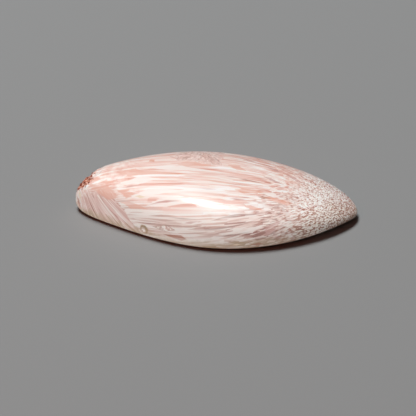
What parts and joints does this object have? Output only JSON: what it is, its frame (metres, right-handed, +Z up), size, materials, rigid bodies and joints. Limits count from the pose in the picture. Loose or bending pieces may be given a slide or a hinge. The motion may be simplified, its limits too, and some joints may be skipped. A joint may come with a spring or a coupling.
{
  "type": "scolecite cabochon",
  "caption": "Polished freeform marquise cabochon of pink and white fibrous scolecite, with a low dome, a flat back and a rough rind facet at its blunt end.",
  "frame": {"origin": "on the flat back, under the middle of the stone's box", "axes": "+X along the stone from its blunt end to its pointed end, +Y across it, +Z up out of the dome"},
  "size_m": [0.0398, 0.0188, 0.0074],
  "materials": {
    "scolecite": "polished stone, softly glossy, with matt pits and a matt rind facet"
  },
  "bodies": {
    "root": {"cabochon": "scolecite"}
  },
  "joints": []
}
